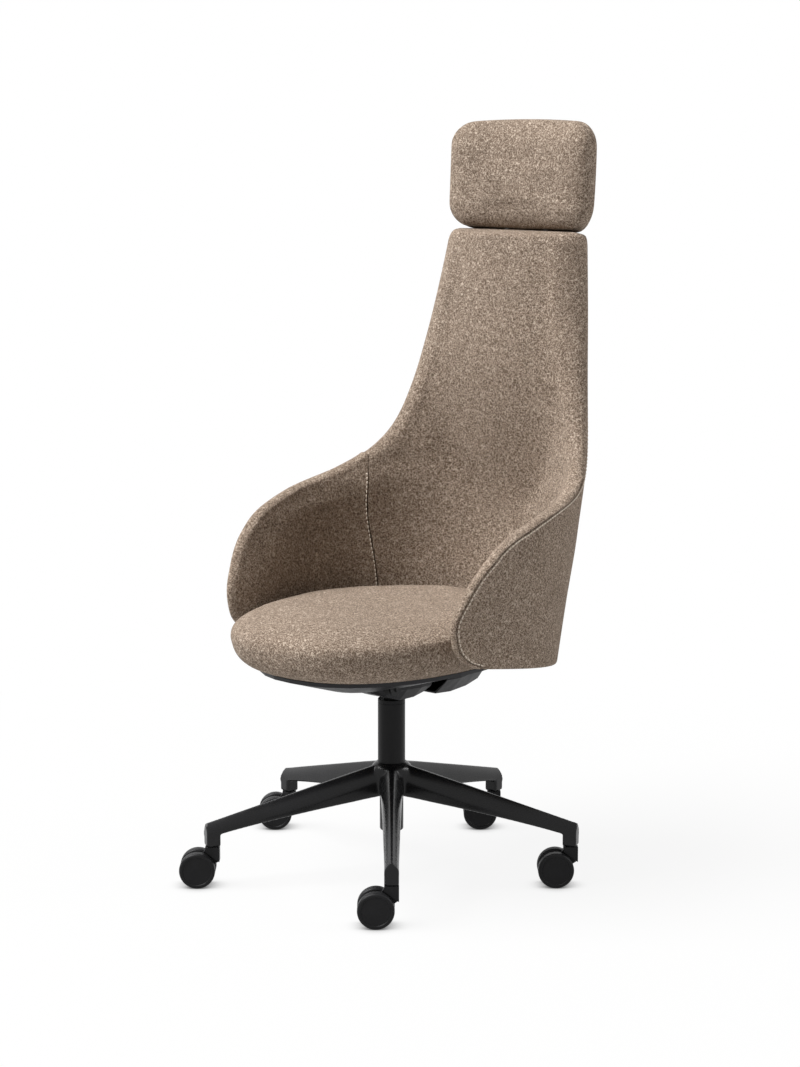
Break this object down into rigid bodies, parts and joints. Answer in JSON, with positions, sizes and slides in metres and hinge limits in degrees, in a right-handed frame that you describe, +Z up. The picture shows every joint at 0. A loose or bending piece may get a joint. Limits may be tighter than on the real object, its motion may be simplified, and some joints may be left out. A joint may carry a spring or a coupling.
{
  "type": "executive office chair",
  "caption": "High-back executive office chair with a wrap-round fabric tub, round seat cushion, separate headrest, tilting seat on a gas column and a star base on twin-wheel castors.",
  "frame": {"origin": "on the floor, under the middle of the chair's bounding box", "axes": "+Z up, the sitter faces -Y, the sitter's left is +X"},
  "size_m": [0.7226, 0.7697, 1.3711],
  "materials": {
    "fabric": "heathered wool felt in taupe with light and dark flecks",
    "black_metal": "black powder coat, satin",
    "black_plastic": "black moulded plastic, fine grain",
    "steel": "ground steel",
    "plywood": "raw moulded plywood",
    "rubber": "black rubber"
  },
  "bodies": {
    "base": {"star_base": "black_metal", "castor_stem_1": "steel", "castor_stem_2": "steel", "castor_stem_3": "steel", "castor_stem_4": "steel", "castor_stem_5": "steel", "column_tube": "black_metal", "guide_bush": "black_plastic", "thrust_bearing": "steel"},
    "castor_1": {"castor_hood_1": "black_plastic", "castor_axle_1": "steel"},
    "wheel_a_1": {"castor_wheel_a_1": "black_plastic"},
    "wheel_b_1": {"castor_wheel_b_1": "black_plastic"},
    "castor_2": {"castor_hood_2": "black_plastic", "castor_axle_2": "steel"},
    "wheel_a_2": {"castor_wheel_a_2": "black_plastic"},
    "wheel_b_2": {"castor_wheel_b_2": "black_plastic"},
    "castor_3": {"castor_hood_3": "black_plastic", "castor_axle_3": "steel"},
    "wheel_a_3": {"castor_wheel_a_3": "black_plastic"},
    "wheel_b_3": {"castor_wheel_b_3": "black_plastic"},
    "castor_4": {"castor_hood_4": "black_plastic", "castor_axle_4": "steel"},
    "wheel_a_4": {"castor_wheel_a_4": "black_plastic"},
    "wheel_b_4": {"castor_wheel_b_4": "black_plastic"},
    "castor_5": {"castor_hood_5": "black_plastic", "castor_axle_5": "steel"},
    "wheel_a_5": {"castor_wheel_a_5": "black_plastic"},
    "wheel_b_5": {"castor_wheel_b_5": "black_plastic"},
    "swivel": {"piston_rod": "steel", "column_clip": "steel"},
    "mechanism": {"gas_cylinder": "black_metal", "mech_housing": "black_metal", "pivot_pin": "steel", "torsion_bush_left": "rubber", "torsion_bush_right": "rubber", "front_stop": "rubber", "rear_stop": "rubber", "lever_pin": "steel"},
    "seat": {"tilt_carrier": "black_metal", "seat_board": "plywood", "seat_pan": "black_plastic", "seat_cushion": "fabric", "tub_bracket_left": "black_metal", "tub_bracket_right": "black_metal", "tub_shell": "fabric", "back_pad": "fabric", "left_arm_pad": "fabric", "right_arm_pad": "fabric", "headrest_guide_left": "black_plastic", "headrest_guide_right": "black_plastic"},
    "headrest": {"headrest_pad": "fabric", "headrest_core": "plywood", "headrest_yoke": "steel"},
    "lever": {"height_lever": "black_plastic"},
    "release": {"release_pin": "steel"}
  },
  "joints": [
    {"name": "castor_swivel_1", "type": "hinge", "parent": "base", "child": "castor_1", "pos_m": [0.24655, -0.30446, 0.0735], "axis": [0, 0, 1], "continuous": true},
    {"name": "wheel_a_spin_1", "type": "hinge", "parent": "castor_1", "child": "wheel_a_1", "pos_m": [0.22586, -0.32181, 0.0325], "axis": [0.6428, -0.766, 0], "continuous": true},
    {"name": "wheel_b_spin_1", "type": "hinge", "parent": "castor_1", "child": "wheel_b_1", "pos_m": [0.22586, -0.32181, 0.0325], "axis": [0.6428, -0.766, 0], "continuous": true},
    {"name": "castor_swivel_2", "type": "hinge", "parent": "base", "child": "castor_2", "pos_m": [0.34324, 0.08337, 0.0735], "axis": [0, 0, 1], "continuous": true},
    {"name": "wheel_a_spin_2", "type": "hinge", "parent": "castor_2", "child": "wheel_a_2", "pos_m": [0.32256, 0.06601, 0.0325], "axis": [0.6428, -0.766, 0], "continuous": true},
    {"name": "wheel_b_spin_2", "type": "hinge", "parent": "castor_2", "child": "wheel_b_2", "pos_m": [0.32256, 0.06601, 0.0325], "axis": [0.6428, -0.766, 0], "continuous": true},
    {"name": "castor_swivel_3", "type": "hinge", "parent": "base", "child": "castor_3", "pos_m": [0.00428, 0.29517, 0.0735], "axis": [0, 0, 1], "continuous": true},
    {"name": "wheel_a_spin_3", "type": "hinge", "parent": "castor_3", "child": "wheel_a_3", "pos_m": [-0.0164, 0.27782, 0.0325], "axis": [0.6428, -0.766, 0], "continuous": true},
    {"name": "wheel_b_spin_3", "type": "hinge", "parent": "castor_3", "child": "wheel_b_3", "pos_m": [-0.0164, 0.27782, 0.0325], "axis": [0.6428, -0.766, 0], "continuous": true},
    {"name": "castor_swivel_4", "type": "hinge", "parent": "base", "child": "castor_4", "pos_m": [-0.3019, 0.03825, 0.0735], "axis": [0, 0, 1], "continuous": true},
    {"name": "wheel_a_spin_4", "type": "hinge", "parent": "castor_4", "child": "wheel_a_4", "pos_m": [-0.32258, 0.0209, 0.0325], "axis": [0.6428, -0.766, 0], "continuous": true},
    {"name": "wheel_b_spin_4", "type": "hinge", "parent": "castor_4", "child": "wheel_b_4", "pos_m": [-0.32258, 0.0209, 0.0325], "axis": [0.6428, -0.766, 0], "continuous": true},
    {"name": "castor_swivel_5", "type": "hinge", "parent": "base", "child": "castor_5", "pos_m": [-0.15217, -0.33234, 0.0735], "axis": [0, 0, 1], "continuous": true},
    {"name": "wheel_a_spin_5", "type": "hinge", "parent": "castor_5", "child": "wheel_a_5", "pos_m": [-0.17286, -0.34969, 0.0325], "axis": [0.6428, -0.766, 0], "continuous": true},
    {"name": "wheel_b_spin_5", "type": "hinge", "parent": "castor_5", "child": "wheel_b_5", "pos_m": [-0.17286, -0.34969, 0.0325], "axis": [0.6428, -0.766, 0], "continuous": true},
    {"name": "seat_swivel", "type": "hinge", "parent": "base", "child": "swivel", "pos_m": [0.028, -0.044, 0.2], "axis": [0, 0, 1], "continuous": true},
    {"name": "seat_lift", "type": "slide", "parent": "swivel", "child": "mechanism", "axis": [0, 0, 1], "range_m": [0, 0.1]},
    {"name": "seat_tilt", "type": "hinge", "parent": "mechanism", "child": "seat", "pos_m": [0.028, -0.104, 0.3593], "axis": [-1, 0, 0], "range_deg": [0, 12], "stiffness_Nm_per_rad": 90, "springref_deg": -34.38},
    {"name": "headrest_slide", "type": "slide", "parent": "seat", "child": "headrest", "axis": [0, 0.0542, 0.9985], "range_m": [0, 0.06]},
    {"name": "height_lever_turn", "type": "hinge", "parent": "mechanism", "child": "lever", "pos_m": [-0.002, -0.044, 0.3571], "axis": [0, 1, 0], "range_deg": [0, 5], "stiffness_Nm_per_rad": 1, "springref_deg": -8.59},
    {"name": "release_press", "type": "slide", "parent": "mechanism", "child": "release", "axis": [0, 0, 1], "range_m": [-0.0031, 0]}
  ],
  "couplings": [
    {"joint": "release_press", "follows": "height_lever_turn", "m_per_rad": -0.0344}
  ]
}
